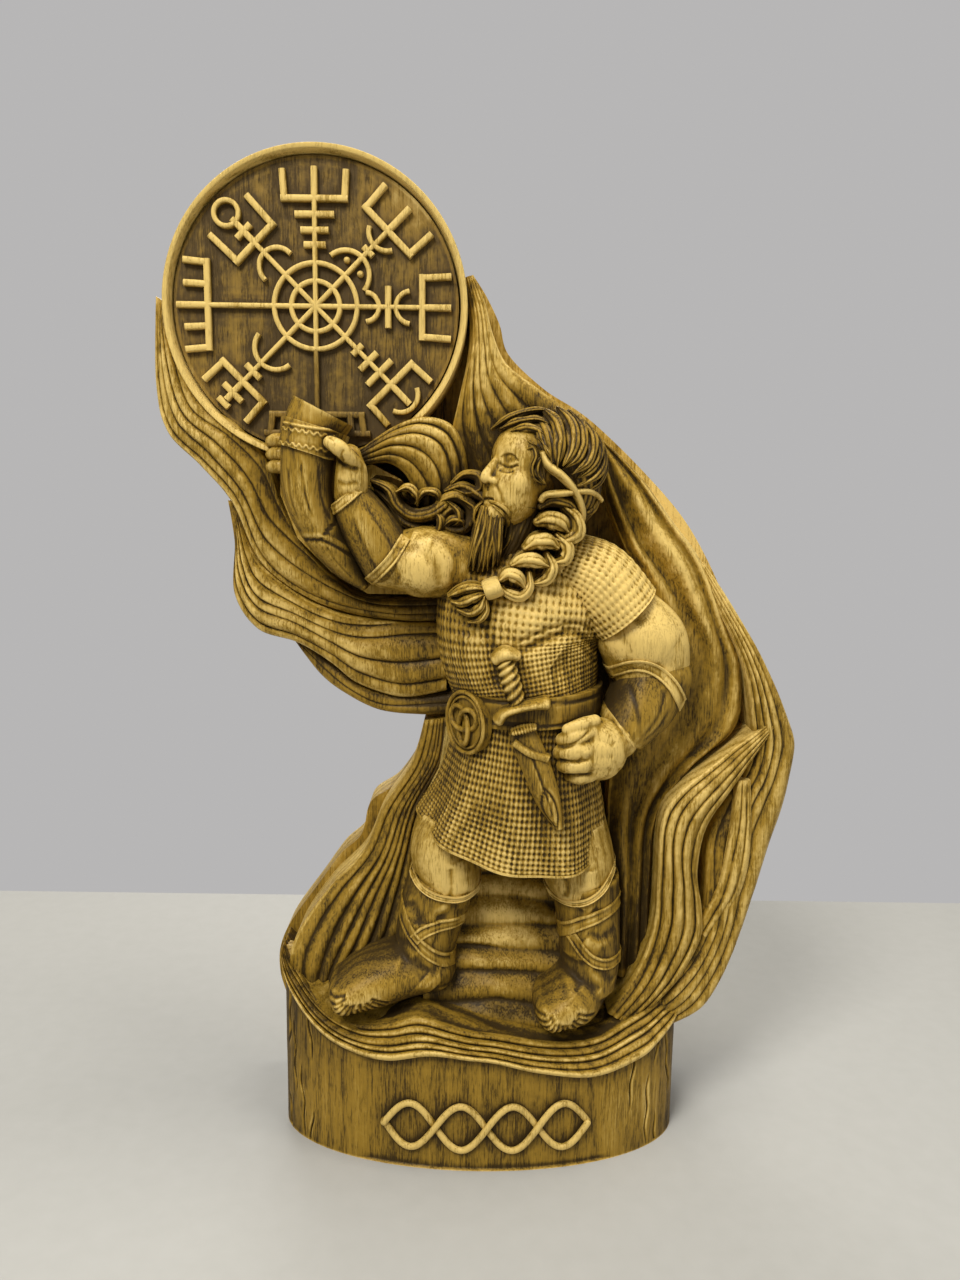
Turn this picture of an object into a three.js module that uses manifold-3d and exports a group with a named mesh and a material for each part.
// A carved wooden figurine: a dwarf in mail who lifts a drinking horn in front of a
// round compass board and a sheet of flame-like folds, on a D-shaped plinth.
// Millimetres. +X is the viewer's right, +Y points away from the viewer, +Z is up.
// The origin is the middle of the plinth's underside.

import * as THREE from 'three';
import { mergeVertices } from 'three/addons/utils/BufferGeometryUtils.js';
import Module from 'manifold-3d';

const wasm = await Module();
wasm.setup();

// Fit
const GAP = 0.3; // glue gap between any two pieces
const CUT_CLEARANCE = 0.95 * GAP; // a piece is cut this far from its neighbour, so seats stay uncut
const CORNER_SOFTNESS = 0.01; // keeps the moved corners of thin edges short
const WELD_REACH = 1e-4; // corners closer than this are one corner

// Plinth: half an ellipse in front of a straight back
const PLINTH_HALF_WIDTH = 63;
const PLINTH_FRONT = 28;
const PLINTH_BACK = 28;
const PLINTH_HEIGHT = 30; // underside to the lowest point of the ground's lip
const PANEL_LEFT = -38; // the smooth panel on the plinth's front
const PANEL_RIGHT = 42;
const PANEL_DEPTH = 1;
const PANEL_EDGE = 0.5; // half the width of the step at the panel's sides
const PLAIT_LENGTH = 64; // the plait that runs along the panel
const PLAIT_HEIGHT = 17;
const PLAIT_TURNS = 4;
const PLAIT_STRAND = 2.6;
const PLAIT_STEPS = 6; // steps along one turn
const PLAIT_START = 0.12; // share of a turn before the first crossing
const PLAIT_SEAT = 0.2; // share of a strand's width let into the panel
const PLAIT_DROP = 16; // the plait's centre line below the top of the plinth

// Block: boards at the back, carved pieces in front of them
const BOARD_THICKNESS = 13.7;
const BOARD_FACE = PLINTH_BACK - BOARD_THICKNESS;
const CARVING_BACK = BOARD_FACE - GAP;
const BOARD_JOINT_LEFT = -30; // glue lines between the edge-glued boards
const BOARD_JOINT_RIGHT = 33;
const BOARD_JOINT_LEVEL = 95; // the left board is broken by the notch in the outline

// Compass board
const DISC_X = -50.5;
const DISC_Z = 226;
const DISC_RADIUS = 44;
const RIM_WIDTH = 2.6;
const RIM_RISE = 3;
const DISC_SEGMENTS = 16; // faces along half a circle
const FIELD_RADIUS = DISC_RADIUS - RIM_WIDTH - GAP;
const HUB_RADIUS = 12;
const HUB_INNER_RADIUS = 7;
const HUB_BAND = 1.5;
const HUB_SPOKES = 4; // bars right across the hub, in line with the staves
const STAVE_WIDTH = 1.5;
const STAVE_RISE = 1.4;

// The eight staves, by compass angle. Along the stave: stem end, cross bars as
// [radius, half width], the fork as [radius, half width, prong length], and arcs as
// [centre radius, arc radius, first angle, last angle].
const STAVES = [
  { name: 'north', angle: 90, stem: 38, bars: [[16.9, 3.1], [20.9, 4], [25.2, 5.6]], fork: [29.5, 8.6, 7.8] },
  { name: 'north_east', angle: 45, stem: 38.4, bars: [[21.6, 1.8]], fork: [29.6, 8.8, 8.4],
    arcs: [[12.4, 6.8, -84, 84], [29.2, 5.2, 118, 242]] },
  { name: 'east', angle: 0, stem: 39.2, bars: [[21, 5.8]], fork: [30.8, 8.2, 8.4],
    arcs: [[14.2, 4.1, -84, 84], [27.8, 4.6, 98, 262]] },
  { name: 'south_east', angle: -45, stem: 38.6, bars: [[17, 2], [21.5, 3.5], [26, 5]],
    fork: [30.8, 8.4, 7.6], arcs: [[34.6, 5.2, -68, 66]] },
  { name: 'south', angle: -90, stem: 38, bars: [[36, 15.6]], fork: [30.6, 13, 5.4], prongs: [-9.6, 9.6] },
  { name: 'south_west', angle: -135, stem: 37.6, bars: [[26.2, 2.8], [34.8, 3.6], [38.8, 2]],
    fork: [30.4, 8, 7.8], arcs: [[16.6, 6.2, -84, 84]] },
  { name: 'west', angle: 180, stem: 40.2, bars: [], fork: [31.2, 11.8, 6.8], prongs: [-5.8, 5.8] },
  { name: 'north_west', angle: 135, stem: 33.4, bars: [[28.8, 2.8]], fork: [24.4, 7.2, 10.6],
    arcs: [[15.4, 5.2, -92, 92], [35.7, 3.5, 0, 360]] },
];

// Carved folds. Each runs between a left and a right edge, given as [x, z] points that
// match one to one; z is above the plinth's top. front is the depth along the fold.
const RIDGE_RISE = 1.5;
const CROWN_RISE = 2;
const FULL_RIDGE = 4; // a ridge at least this wide rises fully
const FOLDS = [
  { name: 'flame_curl', ridges: 4, front: [-3, -4, -3, 0],
    left: [[-40, 183.5], [-34, 188], [-27, 192.5], [-19, 195], [-11, 193], [-7, 186], [-6, 177], [-8, 168]],
    right: [[-40, 180.5], [-34, 181.5], [-29, 181.5], [-24.5, 178.5], [-22, 174], [-20, 170], [-19.5, 166],
      [-19, 162]] },
  { name: 'small_leaf_flame', ridges: 2, front: [-2, -4, -3], back: 4,
    left: [[79, 86], [77, 69], [74, 52], [68, 38]],
    right: [[83, 86], [84, 66], [81, 49], [73, 33]] },
  { name: 'leaf_flame', ridges: 4, front: [0, -5, -6, -6],
    left: [[89, 104.5], [73, 93], [60, 83], [55, 74], [54.5, 56], [54, 40], [50, 26], [43, 16]],
    right: [[90, 102], [80, 88], [70, 73], [67, 58], [69, 45], [69, 36], [63, 26], [52, 18]] },
  { name: 'right_edge_flame', ridges: 4, front: [4, 1, 1, -3, -6],
    left: [[64.5, 152], [70, 141], [76, 130], [80.5, 119], [83, 106], [84, 97], [82, 88], [76, 78], [71, 66],
      [71, 50], [70, 38], [65, 28], [57, 20], [47, 13]],
    right: [[66.5, 153], [73, 144], [82, 130], [88, 119], [94, 106], [97, 97], [96, 86], [94, 76], [90, 63],
      [86, 49], [82, 35], [77, 22], [71, 12], [63, 1]] },
  { name: 'right_fold', ridges: 3, front: [5, 5, 4, 5, 3, 1],
    left: [[20, 197], [33, 185], [36, 173], [41, 160], [49, 143], [50, 129], [46, 114], [42, 99], [40, 82],
      [40, 66], [42, 50], [42, 32]],
    right: [[22, 199], [34, 190], [46, 179], [57, 165], [66, 153], [73, 137], [80, 119], [79, 101],
      [66, 88.5], [56, 74], [54, 56], [53, 37]] },
  { name: 'top_flame', ridges: 4, front: [3, 1, 2, 5],
    left: [[-8, 235], [-6, 223], [-6.5, 212], [-9, 200], [-11, 189], [-9, 176], [-6, 168]],
    right: [[-5, 236], [-1.5, 228], [1, 219], [5, 211], [13, 205], [22, 199], [32, 191]] },
  { name: 'left_flame', ridges: 4, front: [3, 0, 1, 3, 4],
    left: [[-98, 229], [-99, 204], [-96, 190], [-86, 180], [-77, 169], [-69, 152], [-57, 142], [-42, 136],
      [-26, 134], [-13, 134]],
    right: [[-96.5, 228], [-91, 215], [-85, 200], [-74, 192], [-66, 182], [-62, 169], [-56, 157], [-47, 147],
      [-36, 141], [-13, 141]] },
  { name: 'left_middle_flame', ridges: 4, front: [5, 2, 2, 4],
    left: [[-79, 170], [-77, 158], [-77, 142], [-70, 131], [-58, 127], [-48, 121], [-39, 114], [-26, 110],
      [-12, 112]],
    right: [[-77.5, 170], [-75, 164], [-72, 156], [-68, 150], [-57, 141.5], [-46, 136.5], [-36, 134.5],
      [-25, 133.5], [-12, 133.5]] },
  { name: 'left_bottom_flame', ridges: 2, front: [6, 4, 4, 6],
    left: [[-60, 127.5], [-52, 117], [-44, 111], [-33, 105.5], [-20, 104], [-10, 104]],
    right: [[-58.5, 127], [-48, 120.5], [-39, 113.5], [-31, 110.7], [-22, 110.3], [-10, 111.5]] },
  { name: 'lower_left_flame', ridges: 5, front: [6, 2, -3, -8],
    left: [[-19, 102], [-23, 88], [-32, 74], [-38, 60], [-49, 48], [-58, 35], [-61, 26]],
    right: [[-11, 103], [-12, 90], [-19, 74.5], [-22, 60], [-23, 47], [-26, 32], [-36, 20]] },
];
const STEP_LEFT = [[-8, 56], [28, 56]]; // the stepped folds between the legs, top edge and bottom edge
const STEP_RIGHT = [[-8, 8], [30, 8]];
const STEP_RIDGES = 6;
const STEP_TOP_FRONT = 7;
const STEP_SLOPE = 20;

// Ground: a ridged lip that waves along the plinth's front edge, as [x, z] points
const LIP_OVERHANG = 1.5;
const LIP_RUN = 9;
const LIP_RIDGES = 4;
const LIP_RIDGE_RISE = 1.1;
const LIP_LEAST = 3; // the lip is at least this high
const GROUND_RISE = 3; // the ground climbs towards the boards
const LIP_LOW = [[-64, 27], [-60, 19], [-51, 11], [-39, 6], [-28, 5], [-14, 8], [0, 7], [18, 3], [34, 0],
  [49, 2], [56, 6], [64, 11]];
const LIP_TOP = [[-64, 30], [-55, 19], [-46, 13], [-37, 11], [-28, 13], [-19, 16], [-9, 14], [0, 12],
  [12, 10], [25, 8], [36, 8], [45, 11], [55, 15], [64, 19]];
const GROUND_STATIONS = 18;
const HEIGHT_SAMPLES = 160; // points read from a drawn height line

// Outline of the boards behind the carving, [x, z] above the plinth's top
const BOARD_OUTLINE = [[-63, -4], [-68, 12], [-66, 26], [-54, 44], [-47, 54], [-40, 61], [-37, 72], [-28, 79],
  [-20, 92], [-18.5, 101], [-22, 104.5], [-34, 107], [-44, 112.5], [-52, 118.5], [-58, 127], [-69, 131.5],
  [-75.5, 142], [-76, 158], [-77, 168], [-86, 181.5], [-95, 191], [-97, 205], [-95.5, 222]];
const BOARD_OUTLINE_RIGHT = [[-5, 238], [-1, 232], [3, 224], [6, 215], [17, 205], [27, 199], [35, 193],
  [48, 181], [61, 167], [68, 153], [81, 130], [87, 119], [93, 106], [96, 97], [95, 86], [93, 76],
  [89, 63], [85, 49],
  [81, 35], [76, 22], [70, 10], [63, -4]];
const BOARD_TOP_STEPS = 24; // steps of the arc round the compass board
const BOARD_INSET = 0.5; // the boards stay this far inside the compass board's edge
const FILLING_OUTLINE = [[-62, 172], [-57, 159], [-47, 149], [-36, 142.5], [-11, 142.5], [-11, 166],
  [-20, 168], [-26, 177], [-38, 183], [-50, 184], [-62, 186]];
const FILLING_FRONT = 0; // level with the compass board's face

// Limbs and clothes are swept bodies. A station is
// [x, z, half width, depth of the widest plane, depth of the front]; z is above the plinth's top.
// What is held up in front of the compass board is placed from the board's centre.
const ARC_SIDES = 6;
const END_TURNS = [78, 42]; // angles at which a rounded end has its rings
const END_REACH = 0.8; // a rounded end reaches this share of the half width
const ARM_BACK = FILLING_FRONT - GAP; // the raised arm lies on the compass board
const BEARD_BACK = -4;
const WAIST_BACK = -19; // what hangs on the belt is let into the coat
const FIST_BACK = -9;
const BEAD_BACK = -14;
const TASSEL_BACK = -12;
const THUMB_BACK = -12;
const BRACER_BACK = -2;
const NOSE_BACK = -2;
const FAR_BRAID_BACK = 4;
const BODIES = {
  torso: [[14, 163, 10, 0, -9], [13, 156, 22, -1, -15], [11, 142, 25, -1, -21], [10, 130, 24.5, -1, -24],
    [12, 118, 22.5, -1, -25], [13.5, 110, 21.5, -1, -25]],
  belt: [[13, 116, 22.9, -1, -26.3], [13.3, 108, 22.7, -1, -26.3]],
  skirt: [[13, 112, 21, -1, -24.5], [12, 97, 22, -1, -25], [11, 82, 26, -2, -26], [9.5, 72, 29.5, -3, -27]],
  sleeve: [[22, 153, 9, -4, -16], [32, 148, 12, -4, -18.5], [41.5, 138, 11.5, -5, -19.5]],
  loweredArm: [[41, 141, 10, -6, -16], [48, 127, 13.2, -7, -19], [51, 117, 11.5, -7, -18.5]],
  loweredBracer: [[52, 122, 9.8, -7, -17.5], [46, 111, 9, -10, -20.5], [40.5, 104, 7.2, -13, -22.5]],
  loweredElbowBand: [[51, 120, 11.2, -7, -19.4], [49, 116.6, 11, -8, -20]],
  loweredWristBand: [[42, 106, 8.6, -12, -23.6], [40, 103.2, 8.4, -13, -24]],
  fist: [[31, 109, 7, -14, -26], [30, 101, 11, -15, -31], [29, 93, 8, -14, -28]],
  raisedArm: [[-8, 152, 9.5, -5, -15], [-19, 153.5, 11, -6, -17.5], [-30, 154, 8.5, -7, -16.5]],
  raisedBracer: [[-29, 153.5, 8, -8, -17], [-35, 163, 7.4, -9.5, -18.5],
    ...fromDisc([[10, -53.5, 5.6, -12, -18.5]])],
  raisedElbowBand: [[-28.5, 153, 9, -8, -18.2], [-30.6, 156.2, 8.8, -8.4, -18.4]],
  raisedWristBand: fromDisc([[11.5, -55.5, 6.8, -11.5, -19.8], [9.9, -53, 6.6, -12, -19.8]]),
  hand: fromDisc([[10, -53, 5.6, -12, -18.5], [9.5, -47, 6.6, -12, -19.5], [8.5, -41, 4.5, -13, -19]]),
  thumb: fromDisc([[11, -41.5, 2.6, -18, -21.5], [7.5, -39, 2.9, -18, -22.5], [4, -37.5, 2.4, -18, -22]]),
  horn: fromDisc([[3, -30, 8.5, -12, -20.5], [-0.1, -37, 7.9, -12, -20.5], [-1.3, -52, 7.1, -11.5, -19.5],
    [2.5, -64, 6, -10, -17.5], [8.5, -74, 4, -8, -14], [14, -80.5, 1.5, -6, -9]]),
  hornBand: fromDisc([[0.5, -35.5, 9, -12, -21.5], [-1.3, -41.5, 8.6, -12, -21.5]]),
  head: [[5, 163, 8, -6, -16], [7, 172, 12.5, -7, -20], [10, 182, 13, -7, -21], [14, 191, 9, -6, -18]],
  nose: [[0, 181, 2.6, -12, -17], [-3.4, 177, 2.6, -12, -17], [-5.4, 173.6, 2.8, -12, -16]],
  hair: [[3, 191, 5.5, -6, -17], [14, 190, 8.5, -6, -22], [24, 182, 10, -6, -23], [27, 171, 7.5, -6, -20],
    [24, 163, 5.5, -6, -17]],
  beard: [[2, 168, 5.5, -10, -18], [0.5, 160, 6, -10, -19.5], [-1.5, 153, 3, -10, -18]],
  farBraid: [[-33, 176, 2, -3, -7], [-27, 173.5, 3, -3, -8.5], [-23, 168, 3.2, -3, -9],
    [-15, 169, 3.4, -3, -9.5], [-5, 174, 3.2, -4, -10]],
  tassel: [[-1.5, 147, 2.4, -20, -24], [-6, 145, 3.6, -19, -23.5], [-11.5, 142.5, 1.8, -17, -21]],
  bead: [[3, 149.5, 2.9, -20, -26], [-1, 147.5, 2.7, -20, -25.6]],
  grip: [[5.5, 127, 2.3, -26, -28.6], [9.4, 115.5, 2.5, -26, -29.2]],
  pommel: [[2.4, 127.6, 2.2, -25, -28.6], [8, 129.4, 2.4, -25, -29]],
  guard: [[3.6, 111, 1.6, -26, -29.2], [10, 115, 2, -26.5, -30], [17.4, 116.4, 1.6, -26, -29.4]],
  scabbard: [[10.5, 112, 4.4, -26, -29], [15.5, 97, 4.4, -27, -30.5], [21.6, 79, 2.2, -27, -30]],
  leftThigh: [[-10.5, 74, 8.6, -3, -16], [-12, 62, 10.6, -4, -17], [-12.8, 53, 10.3, -4, -17]],
  leftCuff: [[-12.2, 54.6, 11.4, -4, -18.6], [-13.2, 51.2, 11.2, -4, -18.6]],
  leftBoot: [[-13, 53.5, 10.2, -4, -17], [-15, 40, 9.3, -5, -17], [-17, 25, 8.6, -7, -17]],
  leftFoot: [[-13, 23, 8, -8, -17], [-25, 24, 8, -9, -20], [-37, 22, 7, -11, -23], [-46, 20.5, 5, -12, -23]],
  rightThigh: [[27, 72, 11.5, -4, -17], [29, 62, 11.4, -5, -18], [31, 55, 10.8, -5, -18]],
  rightCuff: [[30.6, 56.4, 11.8, -5, -19.6], [32.2, 53, 11.6, -5, -19.6]],
  rightBoot: [[31.8, 55, 10.6, -5, -18], [34, 40, 9.6, -6, -18], [34.5, 24, 8.8, -8, -19]],
  rightFoot: [[35, 20, 7, -10, -22], [27, 17, 8.6, -12, -27], [19, 15, 6, -12, -26]],
};
const FINGER_DROPS = [39, 42.6, 46.2]; // the finger ends left of the horn, below the board's centre
const FINGER_LEFT = DISC_X - 15.5;
const FINGER_RIGHT = DISC_X - 6.5;
const FINGER_MIDDLE = -5;
const FINGER_FRONT = -9;
const FINGER_RADIUS = 1.9;
const HEM_SAG = 8; // the skirt's hem hangs lower in front
const HORN_DISH = 2.5; // depth of the hollow in the horn's mouth
const HORN_WALL = 1.6;
const DISH_SIDES = 10;
const DISH_RINGS = 5;
const DISH_REACH = 0.8; // share of the horn's front depth that the hollow takes
const DISH_SHIFT = 0.1; // share by which the hollow's middle is nearer the front
const BRAID_ROUTE = [[24, 173, -17], [20, 166, -18], [17.5, 159.5, -18.5], [11.5, 154, -20], [6, 150.5, -21]];
const BRAID_LOBES = 6;
const BRAID_LOBE_RADIUS = 4.6;
const BRAID_FLATNESS = 0.8;
const LOBE_SIDES = 8;
const LOBE_RINGS = 5;
const BUCKLE_RADIUS = 9.5;
const BUCKLE_THICKNESS = 3;
const BUCKLE_SIDES = 22;
const BUCKLE_PLACE = [-5, 107]; // x and z of its centre
const BUCKLE_DEPTH = -16.6;
const BUCKLE_TURN = 53; // degrees that it faces away from straight ahead, round the belly
const BUCKLE_KNOT_RADIUS = 3.6;
const BUCKLE_KNOT_BAND = 1.2;
const BUCKLE_KNOT_SPREAD = 2.9;
const KNOT_SIDES = 5;
const KNOT_STEPS = 14;

const WOOD = { pale: 0xc8a562, golden: 0xb08c4a, brown: 0x846534, dark: 0x5f4823 };

const carving = new THREE.Group();
const placed = [];

// Solids

function toSolid(geometry) {
  const bare = geometry.clone();
  bare.deleteAttribute('normal');
  bare.deleteAttribute('uv');
  const merged = mergeVertices(bare, WELD_REACH);
  const vertProperties = new Float32Array(merged.attributes.position.array);
  const triVerts = new Uint32Array(merged.index.array);
  return new wasm.Manifold(new wasm.Mesh({ numProp: 3, vertProperties, triVerts }));
}

function toGeometry(solid) {
  const mesh = solid.getMesh();
  const geometry = new THREE.BufferGeometry();
  geometry.setAttribute('position', new THREE.BufferAttribute(mesh.vertProperties, 3));
  geometry.setIndex(new THREE.BufferAttribute(mesh.triVerts, 1));
  return geometry;
}

function join(geometries) {
  return toGeometry(geometries.map(toSolid).reduce((whole, next) => whole.add(next)));
}

// The same shape with every face moved outwards by the cut's clearance. Each corner moves to
// where its moved faces meet, found by least squares.
function grown(geometry) {
  const bare = geometry.clone();
  bare.deleteAttribute('normal');
  bare.deleteAttribute('uv');
  const merged = mergeVertices(bare, WELD_REACH);
  const position = merged.attributes.position;
  const corners = merged.index.array;
  const faces = Array.from({ length: position.count }, () => []);
  const triangle = new THREE.Triangle();
  for (let i = 0; i < corners.length; i += 3) {
    triangle.setFromAttributeAndIndices(position, corners[i], corners[i + 1], corners[i + 2]);
    const normal = triangle.getNormal(new THREE.Vector3());
    for (let k = 0; k < 3; k++) faces[corners[i + k]].push(normal);
  }
  const moves = faces.map((normals) => {
    const sum = new THREE.Vector3();
    const products = { xx: 0, xy: 0, xz: 0, yy: 0, yz: 0, zz: 0 };
    for (const { x, y, z } of normals) {
      sum.add(new THREE.Vector3(x, y, z));
      products.xx += x * x;
      products.xy += x * y;
      products.xz += x * z;
      products.yy += y * y;
      products.yz += y * z;
      products.zz += z * z;
    }
    const soft = CORNER_SOFTNESS * normals.length;
    const matrix = new THREE.Matrix3(
      products.xx + soft, products.xy, products.xz,
      products.xy, products.yy + soft, products.yz,
      products.xz, products.yz, products.zz + soft,
    ).invert();
    return sum.applyMatrix3(matrix).multiplyScalar(CUT_CLEARANCE).clampLength(0, 2 * GAP);
  });
  moves.forEach((move, i) => {
    position.setXYZ(i, position.getX(i) + move.x, position.getY(i) + move.y, position.getZ(i) + move.z);
  });
  return toSolid(merged);
}

function boxesMeet(a, b) {
  return [0, 1, 2].every((k) => a.min[k] < b.max[k] && b.min[k] < a.max[k]);
}

// Cut a piece round all the pieces placed before it, keep its main body, and add it
function place(name, geometry, colour) {
  let solid = toSolid(geometry);
  for (const cutter of placed) {
    if (boxesMeet(solid.boundingBox(), cutter.boundingBox())) {
      solid = solid.subtract(cutter);
    }
  }
  const bodies = solid.decompose().sort((a, b) => b.volume() - a.volume());
  placed.push(grown(geometry));
  const material = new THREE.MeshStandardMaterial({ color: colour, roughness: 0.55, metalness: 0 });
  const mesh = new THREE.Mesh(toGeometry(bodies[0]), material);
  mesh.name = name;
  carving.add(mesh);
}

// Stations measured from the compass board's centre, turned into places
function fromDisc(stations) {
  return stations.map(([x, z, ...sizes]) => [DISC_X + x, DISC_Z + z, ...sizes]);
}

// Lofts

function smoothPath(points) {
  return new THREE.CatmullRomCurve3(points.map((p) => new THREE.Vector3(p[0], p[1], p[2] ?? 0)));
}

function smoothHeight(points) {
  const path = smoothPath(points);
  const samples = path.getPoints(HEIGHT_SAMPLES);
  return (x) => {
    const next = samples.findIndex((p) => p.x >= x);
    if (next <= 0) return samples[next === 0 ? 0 : samples.length - 1].y;
    const a = samples[next - 1];
    const b = samples[next];
    return a.y + (b.y - a.y) * (x - a.x) / (b.x - a.x);
  };
}

// Triangles that close one flat ring
function capFaces(ring) {
  const normal = new THREE.Vector3();
  ring.forEach((p, i) => normal.add(p.clone().cross(ring[(i + 1) % ring.length])));
  normal.normalize();
  const across = ring[1].clone().sub(ring[0]).normalize();
  const up = normal.clone().cross(across);
  const flat = ring.map((p) => new THREE.Vector2(p.dot(across), p.dot(up)));
  return THREE.ShapeUtils.triangulateShape(flat, []);
}

function signedVolume(points, index) {
  let volume = 0;
  for (let i = 0; i < index.length; i += 3) {
    const [a, b, c] = [points[index[i]], points[index[i + 1]], points[index[i + 2]]];
    volume += a.dot(b.clone().cross(c)) / 6;
  }
  return volume;
}

// A closed skin over rings that all have the same number of points
function loft(rings) {
  const count = rings[0].length;
  const points = rings.flat();
  const index = [];
  for (let i = 0; i + 1 < rings.length; i++) {
    for (let j = 0; j < count; j++) {
      const a = i * count + j;
      const b = i * count + (j + 1) % count;
      index.push(a, b, b + count, a, b + count, a + count);
    }
  }
  const last = (rings.length - 1) * count;
  capFaces(rings[0]).forEach((f) => index.push(f[2], f[1], f[0]));
  capFaces(rings.at(-1)).forEach((f) => index.push(last + f[0], last + f[1], last + f[2]));
  if (signedVolume(points, index) < 0) index.reverse();
  const geometry = new THREE.BufferGeometry();
  geometry.setFromPoints(points);
  geometry.setIndex(index);
  return geometry;
}

// A carved fold: ridges that run between two edges, with a flat back
function fold({ left, right, front, ridges, back = CARVING_BACK, slope = 0 }) {
  const leftEdge = smoothPath(left);
  const rightEdge = smoothPath(right);
  const depth = smoothPath(front.map((y, i) => [i, y]));
  const steps = left.length;
  const rings = [];
  for (let i = 0; i <= steps; i++) {
    const u = i / steps;
    const a = leftEdge.getPoint(u);
    const b = rightEdge.getPoint(u);
    const swell = Math.min(1, a.distanceTo(b) / (FULL_RIDGE * ridges));
    const ring = [];
    for (let j = 0; j <= 2 * ridges; j++) {
      const t = j / (2 * ridges);
      const rise = (CROWN_RISE * Math.sin(Math.PI * t) + RIDGE_RISE * (j % 2)) * swell;
      const x = a.x + (b.x - a.x) * t;
      const z = a.y + (b.y - a.y) * t;
      ring.push(new THREE.Vector3(x, depth.getPoint(u).y - rise - slope * t, z));
    }
    ring.push(new THREE.Vector3(b.x, back, b.y));
    ring.push(new THREE.Vector3(a.x, back, a.y));
    rings.push(ring);
  }
  return loft(rings);
}

// A body in relief: half round in front, straight walls and a flat back behind
function relief(stations, options = {}) {
  const { back = CARVING_BACK, roundStart = false, roundEnd = false, sag = 0, steps = 2 } = options;
  const centre = smoothPath(stations.map(([x, z]) => [x, z]));
  const size = smoothPath(stations.map(([, , width, middle, front]) => [width, middle, front]));
  const count = steps * (stations.length - 1);
  const places = Array.from({ length: count + 1 }, (_, i) => ({ u: i / count, shrink: 1, push: 0 }));
  const rounding = END_TURNS.map((degrees) => THREE.MathUtils.degToRad(degrees));
  if (roundStart) {
    places.unshift(...rounding.map((a) => ({ u: 0, shrink: Math.cos(a), push: -Math.sin(a) })));
  }
  if (roundEnd) {
    places.push(...rounding.reverse().map((a) => ({ u: 1, shrink: Math.cos(a), push: Math.sin(a) })));
  }
  return loft(places.map(({ u, shrink, push }) => {
    const { x: width, y: middle, z: front } = size.getPoint(u);
    const along = centre.getTangent(u);
    const here = centre.getPoint(u).addScaledVector(along, push * width * END_REACH);
    const ring = [];
    for (let j = 0; j <= ARC_SIDES; j++) {
      const angle = Math.PI * j / ARC_SIDES;
      const side = width * shrink * Math.cos(angle);
      const bulge = Math.sin(angle);
      const depth = middle - (middle - front) * shrink * bulge;
      const drop = along.x * side + sag * bulge * u * u;
      ring.push(new THREE.Vector3(here.x + along.y * side, depth, here.y - drop));
    }
    const first = ring[0];
    const last = ring.at(-1);
    ring.push(new THREE.Vector3(last.x, back, last.z));
    ring.push(new THREE.Vector3(first.x, back, first.z));
    return ring;
  }));
}

// Flat shapes drawn in x and z, from one depth to another
function plate(shape, front, back, curveSegments = 5) {
  const depth = back - front;
  const geometry = new THREE.ExtrudeGeometry(shape, { depth, bevelEnabled: false, curveSegments });
  geometry.rotateX(Math.PI / 2);
  geometry.translate(0, back, 0);
  return geometry;
}

function outline(points) {
  return new THREE.Shape(points.map(([x, z]) => new THREE.Vector2(x, z)));
}

function circle(radius) {
  return new THREE.Shape().absarc(0, 0, radius, 0, 2 * Math.PI);
}

function band(x, z, radius, width, from, to) {
  const shape = new THREE.Shape();
  if (to - from >= 360) {
    shape.absarc(x, z, radius + width / 2, 0, 2 * Math.PI);
    const hole = new THREE.Path();
    hole.absarc(x, z, radius - width / 2, 0, 2 * Math.PI, true);
    shape.holes.push(hole);
    return shape;
  }
  const [start, end] = [from, to].map(THREE.MathUtils.degToRad);
  shape.absarc(x, z, radius + width / 2, start, end);
  shape.absarc(x, z, radius - width / 2, end, start, true);
  return shape;
}

function bar(from, to, width) {
  const a = new THREE.Vector2(...from);
  const b = new THREE.Vector2(...to);
  const side = b.clone().sub(a).normalize().multiplyScalar(width / 2);
  const offset = new THREE.Vector2(-side.y, side.x);
  return new THREE.Shape([a.clone().add(offset), b.clone().add(offset), b.clone().sub(offset),
    a.clone().sub(offset)]);
}

// Plinth and ground

function frontOf(x, overhang = 0) {
  const share = Math.min(1, Math.abs(x) / (PLINTH_HALF_WIDTH + overhang));
  return -(PLINTH_FRONT + overhang) * Math.sqrt(1 - share * share);
}

const lipLow = smoothHeight(LIP_LOW);
const lipTop = smoothHeight(LIP_TOP);

function stationsAcross(halfWidth) {
  const turns = Array.from({ length: GROUND_STATIONS + 1 }, (_, i) => Math.PI * i / GROUND_STATIONS);
  return turns.map((turn) => -halfWidth * Math.cos(turn));
}

function plinth() {
  const edges = [PANEL_LEFT, PANEL_RIGHT].flatMap((x) => [x - PANEL_EDGE, x + PANEL_EDGE]);
  const stations = [...stationsAcross(PLINTH_HALF_WIDTH), ...edges].sort((a, b) => a - b);
  return loft(stations.map((x) => {
    const inPanel = x > PANEL_LEFT && x < PANEL_RIGHT;
    const front = frontOf(x) + (inPanel ? PANEL_DEPTH : 0);
    const top = lipLow(x) - GAP;
    return [[front, -PLINTH_HEIGHT], [front, top], [PLINTH_BACK, top], [PLINTH_BACK, -PLINTH_HEIGHT]]
      .map(([y, z]) => new THREE.Vector3(x, y, z));
  }));
}

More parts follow.
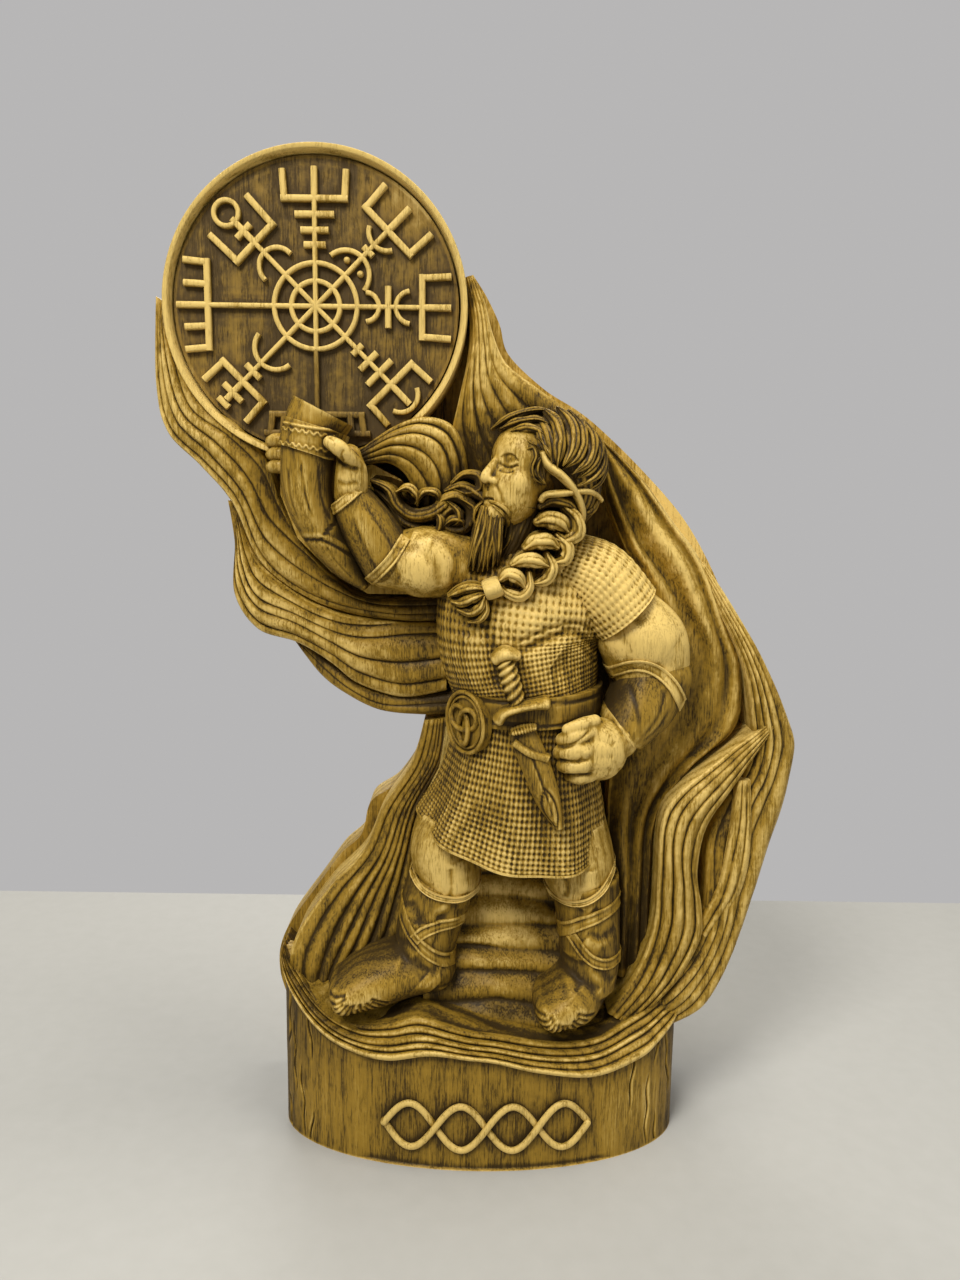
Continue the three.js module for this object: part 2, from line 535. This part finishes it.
function ground() {
  const halfWidth = PLINTH_HALF_WIDTH + LIP_OVERHANG;
  return loft(stationsAcross(halfWidth).map((x) => {
    const low = lipLow(x);
    const top = Math.max(lipTop(x), low + LIP_LEAST);
    const front = frontOf(x, LIP_OVERHANG);
    const ring = [];
    for (let j = 0; j <= 2 * LIP_RIDGES; j++) {
      const t = j / (2 * LIP_RIDGES);
      const rise = LIP_RIDGE_RISE * (j % 2);
      ring.push(new THREE.Vector3(x, front + LIP_RUN * t - rise, low + (top - low) * t + rise));
    }
    ring.push(new THREE.Vector3(x, CARVING_BACK, top + GROUND_RISE));
    ring.push(new THREE.Vector3(x, CARVING_BACK, low));
    return ring;
  }));
}

// Two strands that cross along the panel, let into it by a fraction of their width
function plait() {
  const middle = (PANEL_LEFT + PANEL_RIGHT) / 2;
  const reach = (PLAIT_HEIGHT - PLAIT_STRAND) / 2;
  const strands = [1, -1].map((side) => {
    const steps = PLAIT_STEPS * PLAIT_TURNS;
    const points = Array.from({ length: steps + 1 }, (_, i) => {
      const u = i / steps;
      const x = middle + PLAIT_LENGTH * (u - 0.5);
      const z = side * reach * Math.sin(Math.PI * (PLAIT_TURNS * u + PLAIT_START));
      return new THREE.Vector3(x, frontOf(x) + PANEL_DEPTH - PLAIT_STRAND * PLAIT_SEAT, z - PLAIT_DROP);
    });
    const section = new THREE.Shape();
    section.absarc(0, 0, PLAIT_STRAND / 2, 0, 2 * Math.PI);
    return new THREE.ExtrudeGeometry(section, { steps, curveSegments: 2, bevelEnabled: false,
      extrudePath: new THREE.CatmullRomCurve3(points) });
  });
  return join(strands);
}

// Compass board

function discPlate(shape, front, back) {
  const geometry = plate(shape, front, back, DISC_SEGMENTS);
  geometry.translate(DISC_X, 0, DISC_Z);
  return geometry;
}

function stave({ angle, stem, bars, fork, prongs = [], arcs = [] }) {
  const [forkRadius, forkHalf, forkReach] = fork;
  const shapes = [bar([HUB_RADIUS + HUB_BAND / 2 + GAP, 0], [stem, 0], STAVE_WIDTH)];
  for (const [radius, half] of [...bars, [forkRadius, forkHalf]]) {
    shapes.push(bar([radius, -half], [radius, half], STAVE_WIDTH));
  }
  for (const side of [-forkHalf, forkHalf, ...prongs]) {
    shapes.push(bar([forkRadius - STAVE_WIDTH / 2, side], [forkRadius + forkReach, side], STAVE_WIDTH));
  }
  for (const [centre, radius, from, to] of arcs) {
    shapes.push(band(centre, 0, radius, STAVE_WIDTH, from, to));
  }
  const solids = shapes.map((shape) => {
    const geometry = plate(shape, -GAP - STAVE_RISE, -GAP);
    geometry.rotateY(-THREE.MathUtils.degToRad(angle));
    geometry.translate(DISC_X, 0, DISC_Z);
    return geometry;
  });
  return join(solids);
}

function hub() {
  const shapes = [band(0, 0, HUB_RADIUS, HUB_BAND, 0, 360), band(0, 0, HUB_INNER_RADIUS, HUB_BAND, 0, 360)];
  for (let i = 0; i < HUB_SPOKES; i++) {
    const angle = Math.PI * i / HUB_SPOKES;
    const end = [HUB_RADIUS * Math.cos(angle), HUB_RADIUS * Math.sin(angle)];
    shapes.push(bar(end, end.map((v) => -v), STAVE_WIDTH));
  }
  return join(shapes.map((shape) => {
    const geometry = plate(shape, -GAP - STAVE_RISE, -GAP, DISC_SEGMENTS / 2);
    geometry.translate(DISC_X, 0, DISC_Z);
    return geometry;
  }));
}

// Figure

function horn() {
  const body = relief(BODIES.horn, { back: ARM_BACK, roundEnd: true });
  const [x, z, width, middle, front] = BODIES.horn[0];
  const [nextX, nextZ] = BODIES.horn[1];
  const down = new THREE.Vector3(nextX - x, 0, nextZ - z).normalize();
  const dish = new THREE.SphereGeometry(1, DISH_SIDES, DISH_RINGS);
  dish.scale(width - HORN_WALL, HORN_DISH, (middle - front) * DISH_REACH);
  const turn = new THREE.Quaternion().setFromUnitVectors(new THREE.Vector3(0, -1, 0), down);
  const depth = middle - (middle - front) * DISH_SHIFT;
  dish.applyQuaternion(turn);
  dish.translate(x, depth, z);
  return toGeometry(toSolid(body).subtract(toSolid(dish)));
}

function fingers() {
  return join(FINGER_DROPS.map((drop) => relief(
    [FINGER_LEFT, FINGER_RIGHT].map((x) => [x, DISC_Z - drop, FINGER_RADIUS, FINGER_MIDDLE, FINGER_FRONT]),
    { back: ARM_BACK, roundStart: true, steps: 2 })));
}

function braid() {
  const route = smoothPath(BRAID_ROUTE);
  const lobes = Array.from({ length: BRAID_LOBES }, (_, i) => {
    const { x, y, z } = route.getPoint((i + 0.5) / BRAID_LOBES);
    const lobe = new THREE.SphereGeometry(BRAID_LOBE_RADIUS, LOBE_SIDES, LOBE_RINGS);
    lobe.scale(1, BRAID_FLATNESS, 1);
    lobe.translate(x, z, y);
    return lobe;
  });
  return join(lobes);
}

function buckle() {
  const plateBody = new THREE.CylinderGeometry(BUCKLE_RADIUS, BUCKLE_RADIUS, BUCKLE_THICKNESS, BUCKLE_SIDES);
  const loops = [-1, 1].map((side) => {
    const loop = new THREE.TorusGeometry(BUCKLE_KNOT_RADIUS, BUCKLE_KNOT_BAND / 2, KNOT_SIDES, KNOT_STEPS);
    loop.rotateX(Math.PI / 2);
    loop.translate(0, -BUCKLE_THICKNESS / 2, side * BUCKLE_KNOT_SPREAD);
    return loop;
  });
  const whole = join([plateBody, ...loops]);
  whole.rotateZ(-THREE.MathUtils.degToRad(BUCKLE_TURN));
  whole.translate(BUCKLE_PLACE[0], BUCKLE_DEPTH, BUCKLE_PLACE[1]);
  return whole;
}

// Assembly: pieces that stand in front come first, and what lies behind is cut round them

place('plinth', plinth(), WOOD.golden);
place('plinth_plait', plait(), WOOD.pale);

place('belt_buckle', buckle(), WOOD.brown);
place('fist', relief(BODIES.fist, { back: FIST_BACK, roundStart: true, roundEnd: true }), WOOD.pale);
place('dagger_hilt', join([
  relief(BODIES.grip, { back: WAIST_BACK }),
  relief(BODIES.pommel, { back: WAIST_BACK, roundStart: true, roundEnd: true, steps: 2 }),
  relief(BODIES.guard, { back: WAIST_BACK, roundStart: true, roundEnd: true, steps: 2 }),
]), WOOD.golden);
place('scabbard', relief(BODIES.scabbard, { back: WAIST_BACK, roundEnd: true }), WOOD.brown);
place('braid_bead', relief(BODIES.bead, { back: BEAD_BACK, steps: 1 }), WOOD.pale);
place('braid_tassel', relief(BODIES.tassel, { back: TASSEL_BACK, roundEnd: true }), WOOD.brown);
place('near_braid', braid(), WOOD.golden);
place('beard', relief(BODIES.beard, { back: BEARD_BACK, roundEnd: true }), WOOD.brown);

place('compass_hub', hub(), WOOD.pale);
STAVES.forEach((row) => place(`compass_stave_${row.name}`, stave(row), WOOD.pale));
place('raised_hand', join([
  relief(BODIES.hand, { back: ARM_BACK, roundEnd: true }),
  relief(BODIES.thumb, { back: THUMB_BACK, roundStart: true, roundEnd: true }),
]), WOOD.pale);
place('drinking_horn', horn(), WOOD.brown);
place('horn_band', relief(BODIES.hornBand, { back: ARM_BACK, steps: 1 }), WOOD.golden);
place('raised_fingers', fingers(), WOOD.golden);
place('raised_bracer', join([
  relief(BODIES.raisedBracer, { back: ARM_BACK }),
  relief(BODIES.raisedElbowBand, { back: ARM_BACK, steps: 1 }),
  relief(BODIES.raisedWristBand, { back: ARM_BACK, steps: 1 }),
]), WOOD.brown);
place('raised_upper_arm', relief(BODIES.raisedArm, { back: ARM_BACK, roundStart: true, roundEnd: true }),
  WOOD.pale);

place('lowered_bracer', join([
  relief(BODIES.loweredBracer, { back: BRACER_BACK }),
  relief(BODIES.loweredElbowBand, { back: BRACER_BACK, steps: 1 }),
  relief(BODIES.loweredWristBand, { back: BRACER_BACK, steps: 1 }),
]), WOOD.brown);
place('mail_sleeve', relief(BODIES.sleeve, { roundStart: true }), WOOD.golden);
place('lowered_upper_arm', relief(BODIES.loweredArm, { roundStart: true, roundEnd: true }), WOOD.pale);

place('hair', relief(BODIES.hair, { roundStart: true, roundEnd: true }), WOOD.dark);
place('head', join([
  relief(BODIES.head, { roundStart: true, roundEnd: true }),
  relief(BODIES.nose, { back: NOSE_BACK, roundStart: true, roundEnd: true, steps: 2 }),
]), WOOD.pale);
place('belt', relief(BODIES.belt, { steps: 1 }), WOOD.brown);
place('mail_coat', relief(BODIES.torso, { roundStart: true, steps: 2 }), WOOD.golden);
place('mail_skirt', relief(BODIES.skirt, { sag: HEM_SAG, steps: 2 }), WOOD.golden);
place('far_braid', relief(BODIES.farBraid, { back: FAR_BRAID_BACK, roundStart: true }), WOOD.brown);

place('left_boot_top', relief(BODIES.leftCuff, { steps: 1 }), WOOD.golden);
place('left_thigh', relief(BODIES.leftThigh), WOOD.pale);
place('left_boot', join([
  relief(BODIES.leftBoot),
  relief(BODIES.leftFoot, { roundStart: true, roundEnd: true }),
]), WOOD.dark);
place('right_boot_top', relief(BODIES.rightCuff, { steps: 1 }), WOOD.golden);
place('right_thigh', relief(BODIES.rightThigh), WOOD.pale);
place('right_boot', join([
  relief(BODIES.rightBoot),
  relief(BODIES.rightFoot, { roundStart: true, roundEnd: true }),
]), WOOD.dark);

const rimShape = band(0, 0, DISC_RADIUS - RIM_WIDTH / 2, RIM_WIDTH, 0, 360);
place('compass_rim', discPlate(rimShape, -RIM_RISE, CARVING_BACK), WOOD.pale);
place('compass_board', discPlate(circle(FIELD_RADIUS), 0, CARVING_BACK), WOOD.dark);

place('leg_folds', fold({ left: STEP_LEFT, right: STEP_RIGHT, front: [STEP_TOP_FRONT, STEP_TOP_FRONT],
  ridges: STEP_RIDGES, slope: STEP_SLOPE }), WOOD.golden);
FOLDS.forEach((row) => place(row.name, fold(row), WOOD.golden));
place('ground', ground(), WOOD.golden);
place('arm_filling', plate(outline(FILLING_OUTLINE), FILLING_FRONT, CARVING_BACK), WOOD.dark);

// The boards behind: one outline, cut along the glue lines

function boards() {
  const rightEnd = BOARD_OUTLINE_RIGHT[0];
  const leftEnd = BOARD_OUTLINE.at(-1);
  const angleOf = ([x, z]) => Math.atan2(z - DISC_Z, x - DISC_X);
  const from = angleOf(leftEnd) + 2 * Math.PI; // over the top of the board
  const to = angleOf(rightEnd);
  const reach = DISC_RADIUS - BOARD_INSET;
  const top = Array.from({ length: BOARD_TOP_STEPS + 1 }, (_, i) => {
    const angle = from + (to - from) * i / BOARD_TOP_STEPS;
    return [DISC_X + reach * Math.cos(angle), DISC_Z + reach * Math.sin(angle)];
  });
  const line = [...BOARD_OUTLINE, ...top, ...BOARD_OUTLINE_RIGHT];
  const whole = toSolid(plate(outline(line), BOARD_FACE, PLINTH_BACK));
  const { min: [farLeft, , bottom], max: [farRight, , farTop] } = whole.boundingBox();
  const piece = (x0, x1, z0, z1) => {
    const room = new THREE.BoxGeometry(x1 - x0, 4 * PLINTH_BACK, z1 - z0);
    room.translate((x0 + x1) / 2, 0, (z0 + z1) / 2);
    return toGeometry(whole.intersect(toSolid(room)));
  };
  const half = GAP / 2;
  return {
    back_board_upper_left: piece(farLeft, BOARD_JOINT_LEFT - half, BOARD_JOINT_LEVEL, farTop),
    back_board_lower_left: piece(farLeft, BOARD_JOINT_LEFT - half, bottom, BOARD_JOINT_LEVEL),
    back_board_middle: piece(BOARD_JOINT_LEFT + half, BOARD_JOINT_RIGHT - half, bottom, farTop),
    back_board_right: piece(BOARD_JOINT_RIGHT + half, farRight, bottom, farTop),
  };
}

Object.entries(boards()).forEach(([name, geometry]) => place(name, geometry, WOOD.golden));

carving.position.z = PLINTH_HEIGHT;
const figurine = new THREE.Group();
figurine.add(carving);

export default figurine;
